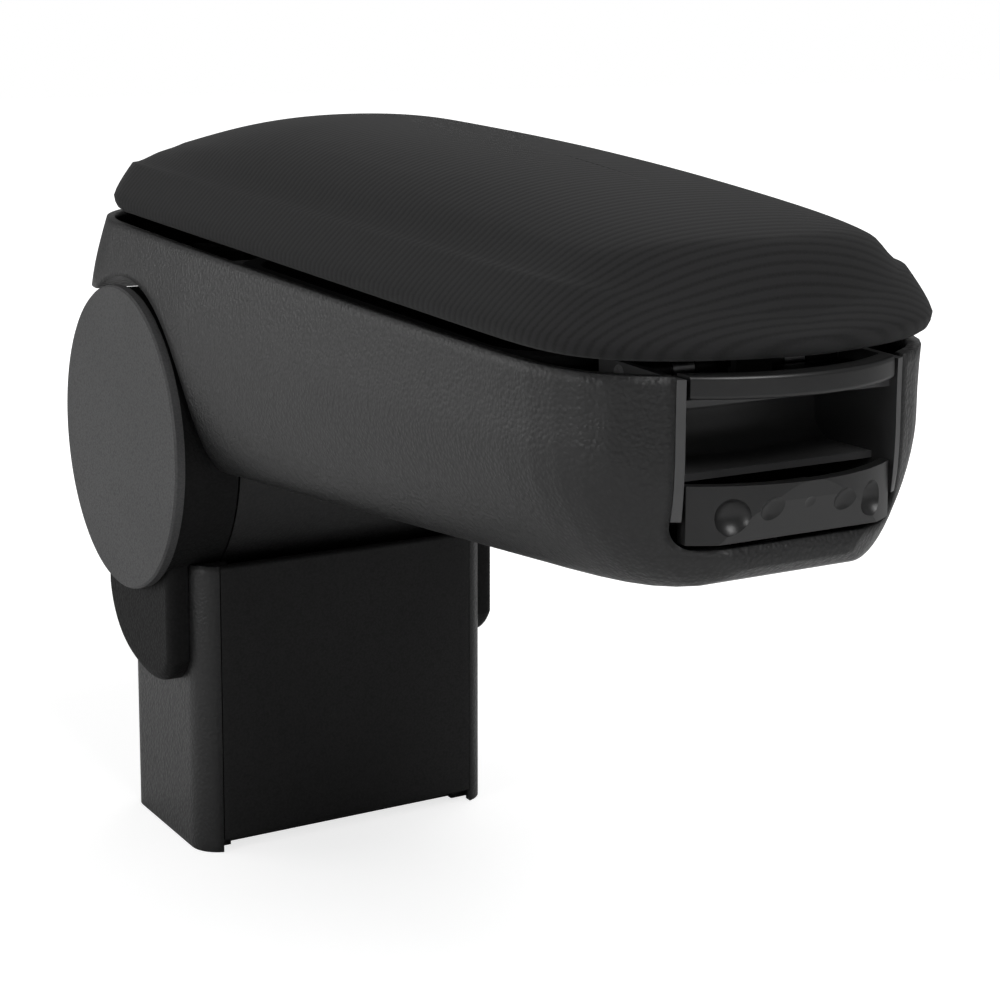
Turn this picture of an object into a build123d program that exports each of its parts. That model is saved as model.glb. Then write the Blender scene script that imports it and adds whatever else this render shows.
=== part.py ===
from build123d import *
import math
import os

# Car centre armrest. Origin at the centre of the column's base, X forward, Y to the left, Z up.
# All sizes in millimetres.

# Column
column_depth = 60.4
column_half_width = 50.0
column_height = 89.4
column_wall = 2.5
column_corner = 9.6
panel_half_width = 42.9
panel_gap = 0.3
panel_foot = 4.0

# Hub
pivot_x = -6.9
pivot_rise = 35.25
pivot_z = column_height + pivot_rise
drum_radius = 46.0
drum_wall = 2.2
disc_radius = 46.9
disc_face = 60.6
disc_thickness = 3.0
side_seam = 40.0
seam_gap = 0.3
tongue_front = 22.0
tongue_rear = -30.0
tongue_drop = 37.9
tongue_bottom = column_height - tongue_drop
tongue_proud = 6.6
tongue_round = 3.0
fixed_gap = 0.15
cover_start = -4.0
cover_end = -255.0
peg_orbit = 30.0

# Pivot and tilt brake
shaft_radius = 6.0
shaft_half_length = 52.0
running_gap = 0.05
bush_wall = 2.0
bush_flange = 1.2
upright_inner = 42.5
upright_thickness = 3.0
upright_half_depth = 17.0
foot_thickness = 3.0
foot_half_depth = 22.4
bolt_spacing_x = 34.0
bolt_spacing_y = 60.0
bolt_hole_radius = 3.3
ring_thickness = 1.2
ring_radius = 9.0
brake_drum_radius = 22.0
brake_half_width = 8.0
brake_gap = 0.08
pad_thickness = 3.0
shoe_thickness = 4.0
shoe_low_angle = 38.0
shoe_high_angle = 66.0
shoe_pin_angle = 76.0
shoe_pin_orbit = 30.0
small_pin_radius = 2.0
boss_wall = 2.0

# Arm housing
arch_radius = 49.5
arm_wall = 2.5
arm_half_width = 54.5
arm_bulge = 3.5
arm_nose = 254.8
nose_length = 94.8
nose_start = arm_nose - nose_length
nose_fullness = 8.5
rim_rise = 55.35
rim_height_front = pivot_z + rim_rise
rim_slope = 0.045
rim_setback = 24.6
rim_reference = arm_nose - rim_setback
lid_gap = 3.0
belly_start = 40.0
belly_end = 240.0
arm_depth = 60.0
belly_height = rim_height_front - arm_depth
belly_rise = 9.0
belly_flat = 43.0
belly_turn = 53.0
nose_lift = 21.0
tuck_drop = 40.0
tuck_height = rim_height_front - tuck_drop
bulge_drop = 18.0
bulge_height = rim_height_front - bulge_drop
rear_lip_drop = 12.0
rear_lip_height = rim_height_front - rear_lip_drop
rear_top_x = -57.0
rear_lean = 10.5
rear_low_x = rear_top_x - rear_lean
rear_corner = 38.0
bracket_half_width = 30.0
bracket_sheet = 3.0
bracket_eye = 36.0
bracket_floor_end = 122.0
bracket_lift = 7.0
bracket_floor = belly_height + bracket_lift
bracket_screw_y = 20.0
foot_neck = 60.0
screw_gap = 0.2

# Storage tub
tub_setback = 15.4
tub_rear = pivot_x + arch_radius + tub_setback
tub_half_width = 41.0
tub_draft = 8.0
tub_flange = 1.6
tub_lift = 21.5
tub_floor = belly_height + tub_lift
tub_wall = 2.0
tub_corner = 12.0
mat_thickness = 1.5
tub_boss_radius = 3.6
tub_boss_y = 35.0

# Front opening and levers
opening_half_width = 29.0
opening_lift = 19.6
opening_low = belly_height + opening_lift
opening_corner = 6.0
carrier_wall = 2.0
carrier_depth = 36.8
carrier_rear = arm_nose - carrier_depth
tub_carrier_gap = 15.0
tub_front = carrier_rear - tub_carrier_gap
recess_drop = 9.6
recess_height = 15.8
recess_high = rim_height_front - recess_drop
recess_low = recess_high - recess_height
recess_wall = 1.6
recess_corner = 6.5
bar_drop = 2.2
bar_height = 5.2
bar_high = rim_height_front - bar_drop
bar_low = bar_high - bar_height
bar_thickness = 5.0
bar_proud = 2.6
bar_front = arm_nose + bar_proud
face_radius = 50.0
lever_side_gap = 1.0
latch_reach = 31.4
latch_pin_x = bar_front - latch_reach
latch_pin_z = bar_low + 2.8
lever_sheet = 2.0
lock_gap = 1.3
lock_top_gap = 0.8
lock_proud = 1.4
lock_low = opening_low + lock_gap
lock_high = recess_low - lock_top_gap
lock_front = arm_nose + lock_proud
lock_lean = 5.0
lock_thickness = 3.0
lock_reach = 18.2
lock_pin_lift = 5.6
lock_pin_x = lock_front - lock_reach
lock_pin_z = lock_low + lock_pin_lift
dimple_pitch = 10.0
dimple_lift = 5.9
dimple_height = lock_low + dimple_lift
dimple_radius = 5.0
dimple_depth = 0.7
tail_half_width = 5.0
rod_lift = 17.0
rod_height = belly_height + rod_lift
rod_radius = 1.5
rod_gap = 0.6
fork_lift = 1.4
tail_reach = 27.4
tail_rear_x = pivot_x + tail_reach
tail_thickness = 3.0
rod_head_radius = 3.4
rod_head_length = 2.5
rod_head_gap = 0.6

# Lid
lid_thickness = 34.7
lid_peak_x = 60.0
lid_front_fall = 10.8
lid_rear_fall = 26.3
lid_band = 15.0
lid_band_lean = 6.0
lid_foot = 4.5
crown_width = 0.69
shoulder = 0.59
nose_crown = 0.24
rear_crown = 0.19
lid_base_thickness = 3.0
lid_base_inset = 5.0
lid_rear_gap = 0.5
lid_rear_x = rear_top_x + lid_rear_gap
lid_rear_round = 40.0
lid_overhang = 1.5
hinge_setback = 5.5
hinge_x = lid_rear_x + hinge_setback
hinge_rise = 5.0
hinge_pin_radius = 1.6
knuckle_radius = 3.6
ear_half_width = 8.0
ear_round = 3.2
ear_thickness = 3.0
knuckle_length = 6.0
hinge_pocket = 0.9
catch_reach = 6.0
catch_x = latch_pin_x + catch_reach
catch_half_width = 6.0
catch_depth = 7.5
screw_radius = 2.0
screw_head_radius = 3.6
screw_head_height = 1.6
screw_length = 8.0

column_half_depth = column_depth / 2
spring_inner = 12.0
spring_outer = 19.0
far = 100.0


def rim(x):
    """Height of the parting plane between the lid and the arm."""
    return rim_height_front - rim_slope * (x - rim_reference)


def across(sketch_plane_y, face, half_length):
    """A face drawn on an XZ plane, thickened to both sides along Y."""
    return extrude(Plane.XZ.offset(-sketch_plane_y) * face, half_length, both=True)


def cylinder_y(x, z, radius, low, high):
    """A cylinder along Y from low to high."""
    return Pos(x, (low + high) / 2, z) * Rot(90, 0, 0) * Cylinder(radius, high - low)


def cylinder_x(y, z, radius, low, high):
    """A cylinder along X from low to high."""
    return Pos((low + high) / 2, y, z) * Rot(0, 90, 0) * Cylinder(radius, high - low)


def block(x0, x1, y0, y1, z0, z1):
    """A box between two corners."""
    return Pos((x0 + x1) / 2, (y0 + y1) / 2, (z0 + z1) / 2) * Box(x1 - x0, y1 - y0, z1 - z0)


def polar(radius, angle):
    """A point at an angle about the pivot, angle 0 pointing forward and 90 up."""
    turn = math.radians(angle)
    return (pivot_x + radius * math.cos(turn), pivot_z + radius * math.sin(turn))


def drum_sector(inner, outer, start, end):
    """A ring sector about the pivot, as a face in X and Z."""
    middle = (start + end) / 2
    edges = [
        ThreePointArc(polar(outer, start), polar(outer, middle), polar(outer, end)),
        Line(polar(outer, end), polar(inner, end)),
        ThreePointArc(polar(inner, end), polar(inner, middle), polar(inner, start)),
        Line(polar(inner, start), polar(outer, start)),
    ]
    return make_face(edges)


def pan_screw(x, y, z, length=screw_length):
    """A pan-head screw pointing down, its head's underside at z."""
    head = Pos(x, y, z + screw_head_height / 2) * Cylinder(screw_head_radius, screw_head_height)
    shank = Pos(x, y, z - length / 2) * Cylinder(screw_radius, length)
    return head + shank


# Column: a C-shaped shell with the front panel let into its open side


def column_outline():
    outline = Rectangle(column_depth, 2 * column_half_width)
    return fillet(outline.vertices(), column_corner)


def column_shell():
    outline = column_outline()
    outer = extrude(outline, column_height)
    hollow = offset(outline, -column_wall)
    body = outer - extrude(hollow, column_height)
    body -= block(
        column_half_depth - 2 * column_wall, column_half_depth + 1,
        -panel_half_width - panel_gap, panel_half_width + panel_gap, 0, column_height)
    seat = cylinder_y(pivot_x, pivot_z, drum_radius + fixed_gap,
                      -column_half_width, column_half_width)
    body -= seat
    ledge_depth = column_half_depth - 2 * column_wall
    for side in (-1, 1):
        low, high = sorted((side * (panel_half_width - 4), side * (column_half_width - column_wall)))
        body += block(ledge_depth - column_wall, ledge_depth - panel_gap, low, high, 0, column_height)
    return body


def column_front_panel():
    front = column_half_depth
    panel = Pos(0, 0, panel_foot) * extrude(column_outline(), column_height - panel_foot)
    panel &= block(front - column_wall, front + 1, -panel_half_width, panel_half_width,
                   panel_foot, column_height)
    panel = fillet(panel.edges().filter_by(Axis.Y).group_by(Axis.Z)[-1].sort_by(Axis.X)[-1], 1.2)
    back = front - 2 * column_wall
    for side in (-1, 1):
        panel += block(back, front - column_wall, side * 20 - 1.2, side * 20 + 1.2,
                       panel_foot + 4, column_height - 8)
    for height in (panel_foot + 12, column_height - 16):
        panel += block(back, front - column_wall, -panel_half_width + 1, panel_half_width - 1,
                       height - 1.2, height + 1.2)
    return panel


# Hub: fixed side shells and discs, and the drum between them that turns with the arm


def tongue_face():
    top = pivot_z - drum_radius * 0.7
    middle = (tongue_front + tongue_rear) / 2
    outline = [
        Line((tongue_rear, top), (tongue_front, top)),
        Line((tongue_front, top), (tongue_front, tongue_bottom + 8)),
        Spline((tongue_front, tongue_bottom + 8), (tongue_front - 6, tongue_bottom + 1.5),
               (middle, tongue_bottom), (tongue_rear + 9, tongue_bottom + 7),
               (tongue_rear, tongue_bottom + 22)),
        Line((tongue_rear, tongue_bottom + 22), (tongue_rear, top)),
    ]
    return make_face(outline)


def hub_side(side):
    outer_end = disc_face - disc_thickness - fixed_gap
    low, high = sorted((side * (side_seam + seam_gap), side * outer_end))
    drum = cylinder_y(pivot_x, pivot_z, drum_radius, low, high)
    inner_low, inner_high = sorted((side * (side_seam + seam_gap - 1),
                                    side * (outer_end - drum_wall)))
    hollow = cylinder_y(pivot_x, pivot_z, drum_radius - drum_wall, inner_low, inner_high)
    tongue_inner = column_half_width + fixed_gap
    tongue_outer = column_half_width + tongue_proud
    tongue = Plane.XZ.offset(-side * tongue_inner) * tongue_face()
    tongue = extrude(tongue, (tongue_outer - tongue_inner) * -side)
    outside = tongue.faces().sort_by(Axis.Y)[-1 if side > 0 else 0]
    tongue = fillet(outside.edges().sort_by(Axis.Z)[:-1], tongue_round)
    shell = (drum + tongue) - hollow
    shell -= cylinder_y(pivot_x, pivot_z, shaft_radius + 4, *sorted((side * 40, side * 60)))
    window_half = upright_half_depth + 1
    shell -= block(pivot_x - window_half, pivot_x + window_half,
                   *sorted((side * (upright_inner - 1), side * (column_half_width - column_wall - 0.1))),
                   pivot_z - drum_radius - 5, pivot_z - drum_radius * 0.7)
    for angle in (90, 210, 330):
        x, z = polar(peg_orbit, angle)
        shell -= cylinder_y(x, z, screw_radius + 0.1, *sorted((side * 50, side * 60)))
    return shell


def hub_disc(side):
    low, high = sorted((side * (disc_face - disc_thickness), side * disc_face))
    disc = cylinder_y(pivot_x, pivot_z, disc_radius, low, high)
    rim_edge = disc.edges().filter_by(GeomType.CIRCLE).sort_by(Axis.Y)[-1 if side > 0 else 0]
    disc = chamfer(rim_edge, 0.6)
    for angle in (90, 210, 330):
        x, z = polar(peg_orbit, angle)
        stub = cylinder_y(x, z, screw_radius, *sorted((side * (disc_face - disc_thickness - 6),
                                                       side * (disc_face - disc_thickness + 0.1))))
        disc += stub
    return disc


def hub_centre_cover():
    half = side_seam - seam_gap
    shell = across(0, drum_sector(drum_radius - drum_wall, drum_radius, cover_end, cover_start), half)
    for place in (-half + 1, 0, half - 1):
        rib = drum_sector(drum_radius - drum_wall - 3, drum_radius - drum_wall + 0.1,
                          cover_end + 4, cover_start - 6)
        shell += across(place, rib, 1.0)
    return shell


# Steel frame, pivot and brake


def base_bracket():
    half = upright_inner + upright_thickness
    foot = block(-foot_half_depth, foot_half_depth, -half, half, 0, foot_thickness)
    for sx in (-1, 1):
        for sy in (-1, 1):
            foot -= Pos(sx * bolt_spacing_x / 2, sy * bolt_spacing_y / 2, 0) * Cylinder(
                bolt_hole_radius, 4 * foot_thickness)
    eye = shaft_radius + 9
    outline = make_face([
        Line((-foot_half_depth, 0), (foot_half_depth, 0)),
        Line((foot_half_depth, 0), (pivot_x + eye, foot_neck)),
        Line((pivot_x + eye, foot_neck), (pivot_x + eye, pivot_z)),
        ThreePointArc((pivot_x + eye, pivot_z), (pivot_x, pivot_z + eye), (pivot_x - eye, pivot_z)),
        Line((pivot_x - eye, pivot_z), (pivot_x - eye, foot_neck)),
        Line((pivot_x - eye, foot_neck), (-foot_half_depth, 0)),
    ])
    bracket = foot
    for side in (-1, 1):
        middle = side * (upright_inner + upright_thickness / 2)
        plate = across(middle, outline, upright_thickness / 2)
        bracket += plate
    bracket -= cylinder_y(pivot_x, pivot_z, shaft_radius, -half - 1, half + 1)
    return bracket


def pivot_shaft():
    shaft = cylinder_y(pivot_x, pivot_z, shaft_radius, -shaft_half_length, shaft_half_length)
    return chamfer(shaft.edges().filter_by(GeomType.CIRCLE), 0.8)


def shaft_rings():
    start = upright_inner + upright_thickness + 0.1
    rings = []
    for side in (-1, 1):
        low, high = sorted((side * start, side * (start + ring_thickness)))
        ring = cylinder_y(pivot_x, pivot_z, ring_radius, low, high)
        ring -= cylinder_y(pivot_x, pivot_z, shaft_radius, low - 1, high + 1)
        ring -= block(pivot_x - 2, pivot_x + 2, low - 1, high + 1, pivot_z - 12, pivot_z)
        rings.append(ring)
    return Compound(children=rings)


def pivot_bushes():
    bore = shaft_radius + running_gap
    outer = bore + bush_wall
    bushes = []
    for side in (-1, 1):
        inner = side * (bracket_half_width - bracket_sheet)
        face = side * (bracket_half_width + bush_flange)
        bush = cylinder_y(pivot_x, pivot_z, outer, *sorted((inner, face)))
        bush += cylinder_y(pivot_x, pivot_z, outer + 3,
                           *sorted((side * bracket_half_width, face)))
        bush -= cylinder_y(pivot_x, pivot_z, bore, *sorted((inner - side, face + side)))
        bushes.append(bush)
    return Compound(children=bushes)


def brake_drum():
    drum = cylinder_y(pivot_x, pivot_z, brake_drum_radius, -brake_half_width, brake_half_width)
    drum += cylinder_y(pivot_x, pivot_z, shaft_radius + 4, -brake_half_width - 5, brake_half_width + 5)
    drum -= cylinder_y(pivot_x, pivot_z, shaft_radius, -far, far)
    for side in (-1, 1):
        low, high = sorted((side * (brake_half_width - 2), side * (brake_half_width + 1)))
        groove = cylinder_y(pivot_x, pivot_z, brake_drum_radius - 3, low, high)
        groove -= cylinder_y(pivot_x, pivot_z, shaft_radius + 4, low, high)
        drum -= groove
    return drum


def brake_pad():
    inner = brake_drum_radius + brake_gap
    face = drum_sector(inner, inner + pad_thickness, shoe_low_angle, shoe_high_angle)
    return across(0, face, brake_half_width - 1)


def brake_shoe():
    inner = brake_drum_radius + brake_gap + pad_thickness
    face = drum_sector(inner, inner + shoe_thickness, shoe_low_angle, shoe_pin_angle)
    shoe = across(0, face, brake_half_width - 1)
    pin_x, pin_z = polar(shoe_pin_orbit, shoe_pin_angle)
    boss = small_pin_radius + running_gap + boss_wall
    shoe += cylinder_y(pin_x, pin_z, boss, -brake_half_width + 1, brake_half_width - 1)
    shoe -= cylinder_y(pin_x, pin_z, small_pin_radius + running_gap, -20, 20)
    _, low_z = polar(inner + shoe_thickness, shoe_low_angle)
    tail_front_x = tail_rear_x + tail_thickness
    shoe += block(pivot_x + inner * 0.8, tail_front_x, -tail_half_width, tail_half_width,
                  low_z, low_z + tail_thickness)
    shoe += block(tail_rear_x, tail_front_x, -tail_half_width, tail_half_width,
                  rod_height - 5.5, low_z + tail_thickness)
    shoe -= cylinder_y(pivot_x, pivot_z, inner, -20, 20)
    shoe -= rod_fork(tail_rear_x, tail_front_x)
    return shoe


def rod_fork(low, high):
    """The slot, open at the bottom, in which the pull rod lies."""
    half = rod_radius + rod_gap
    return block(low - 1, high + 1, -half, half, rod_height - 20, rod_height + rod_radius + fork_lift)


def shoe_pin():
    pin_x, pin_z = polar(shoe_pin_orbit, shoe_pin_angle)
    return cylinder_y(pin_x, pin_z, small_pin_radius, -bracket_half_width, bracket_half_width)


def pull_rod():
    rear_face = tail_rear_x - rod_head_gap
    front_face = lock_tail_front() + rod_head_gap
    rod = cylinder_x(0, rod_height, rod_radius, rear_face - 0.5, front_face + 0.5)
    rod += cylinder_x(0, rod_height, rod_head_radius, rear_face - rod_head_length, rear_face)
    rod += cylinder_x(0, rod_height, rod_head_radius, front_face, front_face + rod_head_length)
    return rod


def bracket_start():
    """Where the bracket's floor begins, clear of the arch."""
    return pivot_x + arch_radius + arm_wall + 3


def bracket_screw_places():
    places = (bracket_start() + 14, bracket_floor_end - 12)
    return [(x, side * bracket_screw_y) for x in places for side in (-1, 1)]


def arm_bracket():
    floor_low = bracket_floor
    floor_top = floor_low + bracket_sheet
    start = bracket_start()
    sides = make_face([
        ThreePointArc(polar(bracket_eye, 60), polar(bracket_eye, 190), polar(bracket_eye, 340)),
        Line(polar(bracket_eye, 340), (pivot_x + drum_radius - drum_wall - 4, floor_low)),
        Line((pivot_x + drum_radius - drum_wall - 4, floor_low), (start, floor_low)),
        Line((start, floor_low), (bracket_floor_end, floor_low)),
        Line((bracket_floor_end, floor_low), (bracket_floor_end, floor_top + 2)),
        Line((bracket_floor_end, floor_top + 2), (start + 8, tub_floor - 1.5)),
        Line((start + 8, tub_floor - 1.5), (start, tub_floor + 1)),
        Line((start, tub_floor + 1), polar(bracket_eye, 60)),
    ])
    half = bracket_half_width
    bracket = block(start, bracket_floor_end, -half, half, floor_low, floor_top)
    for side in (-1, 1):
        bracket += across(side * (half - bracket_sheet / 2), sides, bracket_sheet / 2)
    bracket -= cylinder_y(pivot_x, pivot_z, shaft_radius + running_gap + bush_wall, -far, far)
    pin_x, pin_z = polar(shoe_pin_orbit, shoe_pin_angle)
    bracket -= cylinder_y(pin_x, pin_z, small_pin_radius, -far, far)
    for x, y in bracket_screw_places():
        bracket -= Pos(x, y, floor_low) * Cylinder(screw_radius + screw_gap, far)
    return bracket


def bracket_screws():
    floor_top = bracket_floor + bracket_sheet
    screws = [pan_screw(x, y, floor_top, bracket_sheet + 0.6) for x, y in bracket_screw_places()]
    return Compound(children=screws)


# Arm housing: sections across the arm, lofted from the rear to the nose


def fullness(x, inset):
    """Share of the full width that the arm has at x, falling to nothing at the nose."""
    reach = (x - nose_start) / (arm_nose - inset - nose_start)
    if reach <= 0:
        return 1.0
    return (1 - reach ** nose_fullness) ** (2 / 3)


def stations(rear, inset):
    """Where the sections stand, closer together towards the nose."""
    places = [rear] + [belly_start + 30.0 * step for step in range(6)]
    bends = [arm_nose - inset - gap for gap in (45.0, 34.0, 26.0, 20.0, 15.0, 11.0, 7.5, 4.5)]
    return places[:-1] + bends


def arm_section(x, inset, top):
    """One cross-section of the arm at x, drawn inset from the outer skin."""
    forward = min(max((x - belly_start) / (belly_end - belly_start), 0), 1)
    share = fullness(x, inset)
    rim_half = (arm_half_width - inset) * share
    middle_half = (arm_half_width + arm_bulge * (1 - 2 * forward) - inset) * share
    turn_half = (belly_turn - 13.0 * forward - inset) * share
    flat_half = (belly_flat - 15.0 * forward - inset) * share
    bottom = belly_height + belly_rise * forward + nose_lift * (1 - share) ** 2 + inset
    tuck = tuck_height + 10.0 * forward
    upright = rim_height_front + 20.0
    edges = [Line((0, top), (rim_half, top)), Line((rim_half, top), (rim_half, upright))]
    edges += [Bezier((rim_half, upright), (rim_half, upright - 14.0), (middle_half, rim_height_front),
                     (middle_half, bulge_height))]
    edges += [Bezier((middle_half, bulge_height), (middle_half, tuck), (turn_half, bottom),
                     (flat_half, bottom))]
    edges += [Line((flat_half, bottom), (0, bottom))]
    face = make_face(edges + [mirror(edge, Plane.YZ) for edge in edges])
    return Plane(origin=(x, 0, 0), x_dir=(0, 1, 0), z_dir=(1, 0, 0)) * face


def arm_form(inset, top):
    """The arm as a solid, inset from its skin, with the arch and the rear cut away."""
    rear = rear_low_x - 12.5
    form = loft([arm_section(x, inset, top) for x in stations(rear, inset)], ruled=True)
    form -= cylinder_y(pivot_x, pivot_z, arch_radius + inset, -far, far)
    form -= block(rear - 10, pivot_x, -far, far, belly_height - 60, rear_lip_height + inset)
    lean = (rear_top_x - rear_low_x) / (rim(rear_top_x) - rear_lip_height)
    high_x = rear_top_x + inset + lean * (top - rim(rear_top_x))
    low_x = rear_top_x + inset + lean * (belly_height - rim(rear_top_x))
    corners = [(rear_top_x - far, belly_height), (low_x, belly_height), (high_x, top + 1),
               (rear_top_x - far, top + 1)]
    behind = make_face([Line(corners[i], corners[(i + 1) % 4]) for i in range(4)])
    form -= across(0, behind, far)
    corners = [edge for edge in form.edges() if edge.center().X < rear_top_x + 25
               and abs(edge.center().Y) > 40 and edge.bounding_box().size.Z > 6]
    return fillet(corners, rear_corner - inset)


def above_rim(clearance):
    """Everything above the parting plane, raised by a clearance."""
    low = rear_low_x - far
    high = arm_nose + far
    corners = [(low, rim(low) + clearance), (high, rim(high) + clearance), (high, rim(low) + far),
               (low, rim(low) + far)]
    edges = [Line(corners[i], corners[(i + 1) % 4]) for i in range(4)]
    return across(0, make_face(edges), far)


def opening_face(grow):
    """The front opening, seen along the arm, grown by a clearance."""
    half = opening_half_width + grow
    top = rim_height_front + 30.0
    low = opening_low - grow * 0.1
    outline = make_face([
        Line((-half, top), (half, top)), Line((half, top), (half, low + opening_corner)),
        ThreePointArc((half, low + opening_corner),
                      (half - opening_corner * 0.3, low + opening_corner * 0.3),
                      (half - opening_corner, low)),
        Line((half - opening_corner, low), (-half + opening_corner, low)),
        ThreePointArc((-half + opening_corner, low),
                      (-half + opening_corner * 0.3, low + opening_corner * 0.3),
                      (-half, low + opening_corner)),
        Line((-half, low + opening_corner), (-half, top)),
    ])
    return Plane(origin=(0, 0, 0), x_dir=(0, 1, 0), z_dir=(1, 0, 0)) * outline


def boss_places():
    return [(x, side * tub_boss_y) for x in (tub_rear + 16, tub_front - 26) for side in (-1, 1)]


def arm_shell(outer):
    shell = outer - arm_form(arm_wall, rim_height_front + 55.0)
    shell -= above_rim(-lid_gap / 2)
    shell -= extrude(Pos(carrier_rear, 0, 0) * opening_face(carrier_wall + fixed_gap), 60)
    for x, y in boss_places():
        low = belly_height + 2.0
        boss = Pos(x, y, (low + tub_floor) / 2) * Cylinder(tub_boss_radius, tub_floor - low)
        shell += boss & outer
        shell -= Pos(x, y, tub_floor) * Cylinder(screw_radius, 18)
    floor_low = bracket_floor
    start = bracket_start()
    for x, y in bracket_screw_places():
        pad = Pos(x, y, floor_low - bracket_lift / 2) * Cylinder(screw_head_radius + 1.5, bracket_lift)
        shell += pad & outer
        shell -= Pos(x, y, floor_low) * Cylinder(screw_radius, 3.0)
    slot = bracket_half_width - bracket_sheet / 2
    for side in (-1, 1):
        shell -= block(pivot_x + 20, start + 2, side * slot - bracket_sheet / 2 - 0.3,
                       side * slot + bracket_sheet / 2 + 0.3, floor_low - 0.4, tub_floor + 22)
    shell -= cylinder_x(0, rod_height, rod_radius + 2, pivot_x, start + 4)
    deck = pivot_z + arch_radius + arm_wall
    for side in (-1, 1):
        shell += block(hinge_x - 7, hinge_x + 9, side * ear_half_width - 6, side * ear_half_width + 6,
                       rear_lip_height + 1, deck - 0.5)
    return shell


# Storage tub


def storage_tub():
    middle = (tub_rear + tub_front) / 2
    outline = Rectangle(tub_front - tub_rear, 2 * tub_half_width)
    outline = fillet(outline.vertices(), tub_corner)
    depth = rim(tub_rear) + 5 - tub_floor
    outer = Pos(middle, 0, tub_floor) * extrude(outline, depth, taper=-tub_draft)
    floor_outline = offset(outline, -tub_wall)
    inner = Pos(middle, 0, tub_floor + tub_wall) * extrude(floor_outline, depth, taper=-tub_draft)
    spread = depth * math.tan(math.radians(tub_draft))
    flange = Pos(middle, 0, rim(tub_front) - 15) * extrude(offset(outline, spread + tub_flange), 40)
    slab = above_rim(-lid_gap / 2 - 4) - above_rim(-lid_gap / 2 - 2)
    tub = outer + (flange & slab)
    tub = tub - inner
    tub -= above_rim(-lid_gap / 2 - 2)
    for x, y in boss_places():
        tub -= Pos(x, y, tub_floor) * Cylinder(screw_radius + screw_gap, 12)
    return tub


def tub_mat():
    middle = (tub_rear + tub_front) / 2
    outline = Rectangle(tub_front - tub_rear - 2 * tub_wall - 2, 2 * (tub_half_width - tub_wall) - 2)
    outline = fillet(outline.vertices(), tub_corner - tub_wall - 1)
    base = tub_floor + tub_wall
    mat = Pos(middle, 0, base) * extrude(outline, mat_thickness)
    for x, y in boss_places():
        mat -= Pos(x, y, base) * Cylinder(screw_head_radius + 0.6, 10)
    return mat


def tub_screws():
    return Compound(children=[pan_screw(x, y, tub_floor + tub_wall, 7.0) for x, y in boss_places()])


# Front carrier with the finger recess, and the two levers


def face_arc(front, inset=0.0):
    """Plan of the curved face that both levers share, as a face filled to the rear."""
    half = opening_half_width - lever_side_gap
    drop = face_radius - math.sqrt(face_radius ** 2 - half ** 2)
    nose = front - inset
    return make_face([
        ThreePointArc((nose - drop, -half), (nose, 0), (nose - drop, half)),
        Line((nose - drop, half), (nose - 40, half)),
        Line((nose - 40, half), (nose - 40, -half)),
        Line((nose - 40, -half), (nose - drop, -half)),
    ])


def lever_carrier(outer):
    half = opening_half_width
    tall = extrude(Pos(carrier_rear, 0, 0) * opening_face(carrier_wall), 60)
    slot = extrude(Pos(carrier_rear - 1, 0, 0) * opening_face(0), 70)
    cheeks = tall - slot
    cheeks -= block(carrier_rear - 1, arm_nose + far, -far, far, belly_height - 20,
                    opening_low + opening_corner + 0.5)
    cheeks -= above_rim(-lid_gap / 2 - 0.6)
    recess = Rectangle(40, recess_high - recess_low + 2 * recess_wall)
    recess = fillet(recess.vertices(), recess_corner + recess_wall)
    hollow = Rectangle(40, recess_high - recess_low)
    hollow = fillet(hollow.vertices(), recess_corner)
    middle = (recess_low + recess_high) / 2
    bowl = across(0, Pos(carrier_rear + 20, middle) * recess, half + 0.2)
    bowl -= across(0, Pos(carrier_rear + 20 + recess_wall, middle) * hollow, half + 1)
    bowl -= block(carrier_rear + 28, arm_nose + far, -far, far, middle, rim_height_front + 20)
    bowl -= block(carrier_rear + 22.5, arm_nose + far, -far, far, belly_height - 20, middle)
    carrier = (cheeks + bowl) & outer
    carrier -= cylinder_y(latch_pin_x, latch_pin_z, small_pin_radius, -far, far)
    carrier -= cylinder_y(lock_pin_x, lock_pin_z, small_pin_radius, -far, far)
    return carrier


def latch_lever():
    half = opening_half_width - lever_side_gap
    bar = extrude(Pos(0, 0, bar_low) * face_arc(bar_front), bar_high - bar_low)
    bar -= extrude(Pos(0, 0, bar_low - 1) * face_arc(bar_front, bar_thickness), 20)
    plate = extrude(Pos(0, 0, bar_low) * face_arc(bar_front, bar_thickness - 0.5), lever_sheet)
    plate -= block(0, latch_pin_x, -far, far, belly_height - 20, rim_height_front + 20)
    lever = bar + plate
    lever = fillet(lever.edges().filter_by(GeomType.CIRCLE).group_by(Axis.X)[-1], 1.0)
    boss = small_pin_radius + running_gap + boss_wall * 0.4
    lever += cylinder_y(latch_pin_x, latch_pin_z, boss, -half, half)
    lever -= block(catch_x - 3.6, catch_x + 6, -catch_half_width - 1, catch_half_width + 1,
                   rim_height_front - 20, rim_height_front + 10)
    nose_top = latch_pin_z + 3.2
    lever += block(latch_pin_x, catch_x - 1.9, -catch_half_width + 1, catch_half_width - 1,
                   latch_pin_z + 1.0, nose_top)
    for side in (-1, 1):
        low, high = sorted((side * spring_inner, side * spring_outer))
        lever -= cylinder_y(latch_pin_x, latch_pin_z, boss + 1.5, low, high)
    lever -= cylinder_y(latch_pin_x, latch_pin_z, small_pin_radius + running_gap, -far, far)
    return lever


def lock_tail_front():
    return lock_pin_x - 2.0


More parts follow.
